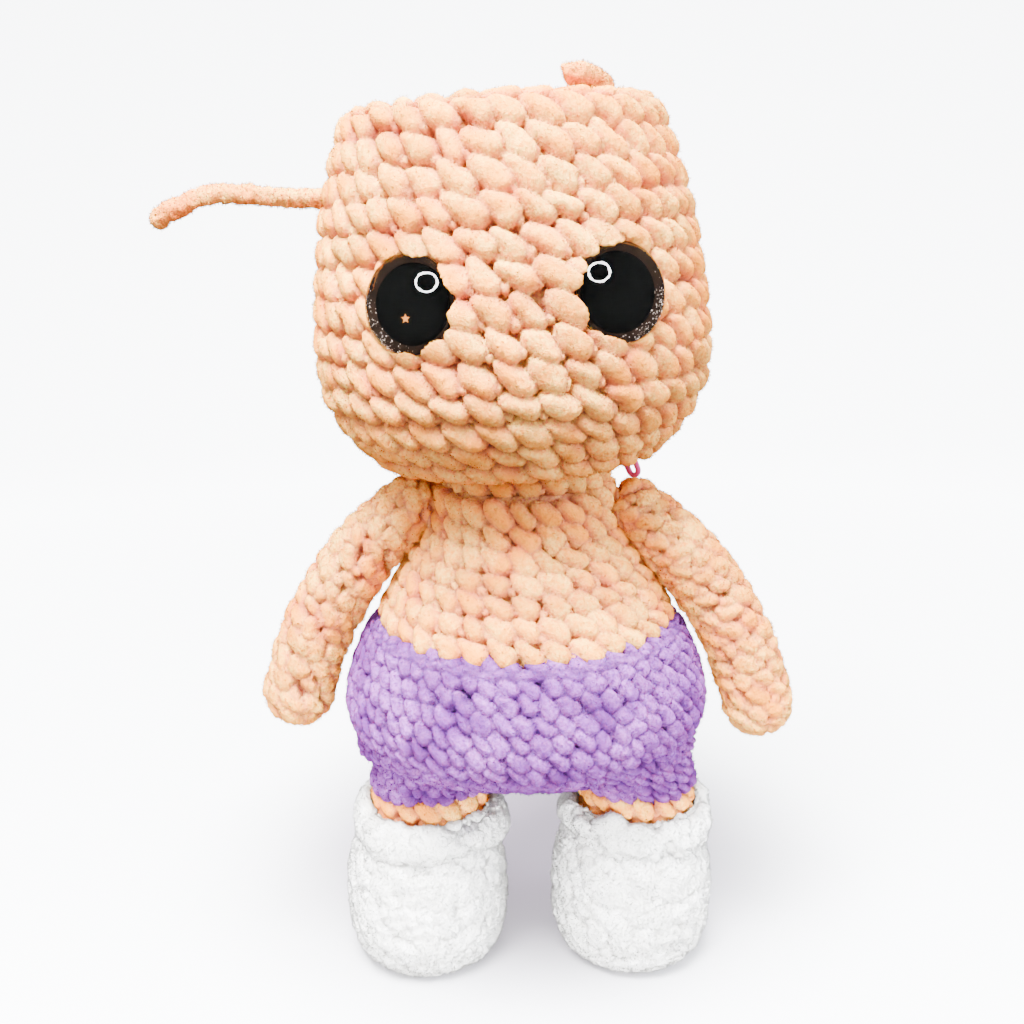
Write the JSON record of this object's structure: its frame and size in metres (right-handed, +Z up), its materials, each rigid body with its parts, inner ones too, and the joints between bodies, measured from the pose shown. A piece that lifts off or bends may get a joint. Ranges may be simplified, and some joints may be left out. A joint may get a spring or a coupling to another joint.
{
  "type": "amigurumi doll",
  "caption": "Soft crocheted doll of thick velvet yarn with a bucket-shaped head, glossy safety eyes, hanging arms, lilac shorts and fluffy white shoes.",
  "frame": {"origin": "on the floor, midway between the two shoes", "axes": "+Z up; the doll's face and front look along -Y; +X is the doll's own left"},
  "size_m": [0.1847, 0.1134, 0.2696],
  "materials": {
    "peach_yarn": "thick peach chenille yarn, short velvet pile",
    "pale_peach_yarn": "the same yarn as a free end or a sewing thread",
    "lilac_yarn": "thick lilac chenille yarn, short velvet pile",
    "white_yarn": "thick white chenille yarn, longer fluffy pile",
    "stuffing": "packed polyester fibre",
    "clear_plastic": "clear, highly polished",
    "black_plastic": "black, polished",
    "glitter_plastic": "dark brown with silver and gold specks",
    "washer_plastic": "plain moulded",
    "marker_plastic": "pink, polished"
  },
  "bodies": {
    "body": {"torso_cover": "peach_yarn", "shorts_cover": "lilac_yarn", "body_stuffing": "stuffing", "left_leg_band": "peach_yarn", "left_leg_stuffing": "stuffing", "left_shoe": "white_yarn", "left_shoe_cuff": "white_yarn", "right_leg_band": "peach_yarn", "right_leg_stuffing": "stuffing", "right_shoe": "white_yarn", "right_shoe_cuff": "white_yarn"},
    "neck_seam": {"neck_seam": "pale_peach_yarn"},
    "head": {"head_cover": "peach_yarn", "head_stuffing": "stuffing", "stitch_marker": "marker_plastic", "side_yarn_tail": "pale_peach_yarn", "top_yarn_tail": "pale_peach_yarn", "left_eye_dome": "clear_plastic", "left_eye_pupil": "black_plastic", "left_eye_glitter": "glitter_plastic", "left_eye_washer": "washer_plastic", "right_eye_dome": "clear_plastic", "right_eye_pupil": "black_plastic", "right_eye_glitter": "glitter_plastic", "right_eye_washer": "washer_plastic"},
    "left_arm_seam": {"left_arm_seam": "pale_peach_yarn"},
    "left_arm": {"left_arm_cover": "peach_yarn", "left_arm_stuffing": "stuffing"},
    "right_arm_seam": {"right_arm_seam": "pale_peach_yarn"},
    "right_arm": {"right_arm_cover": "peach_yarn", "right_arm_stuffing": "stuffing"}
  },
  "joints": [
    {"name": "head_nod", "type": "hinge", "parent": "body", "child": "neck_seam", "pos_m": [0, 0, 0.142], "axis": [1, 0, 0], "range_deg": [-7, 7], "stiffness_Nm_per_rad": 1.5},
    {"name": "head_turn", "type": "hinge", "parent": "neck_seam", "child": "head", "pos_m": [0, 0, 0.142], "axis": [-0.0419, 0, 0.9991], "range_deg": [-20, 20], "stiffness_Nm_per_rad": 0.3},
    {"name": "left_arm_swing", "type": "hinge", "parent": "body", "child": "left_arm_seam", "pos_m": [0.03582, -0.003, 0.1485], "axis": [-1, 0, 0], "range_deg": [-40, 40], "stiffness_Nm_per_rad": 0.08},
    {"name": "left_arm_raise", "type": "hinge", "parent": "left_arm_seam", "child": "left_arm", "pos_m": [0.03582, -0.003, 0.1485], "axis": [0, -1, 0], "range_deg": [0, 40], "stiffness_Nm_per_rad": 0.08},
    {"name": "right_arm_swing", "type": "hinge", "parent": "body", "child": "right_arm_seam", "pos_m": [-0.03582, -0.003, 0.1485], "axis": [-1, 0, 0], "range_deg": [-40, 40], "stiffness_Nm_per_rad": 0.08},
    {"name": "right_arm_raise", "type": "hinge", "parent": "right_arm_seam", "child": "right_arm", "pos_m": [-0.03582, -0.003, 0.1485], "axis": [0, 1, 0], "range_deg": [0, 40], "stiffness_Nm_per_rad": 0.08}
  ]
}
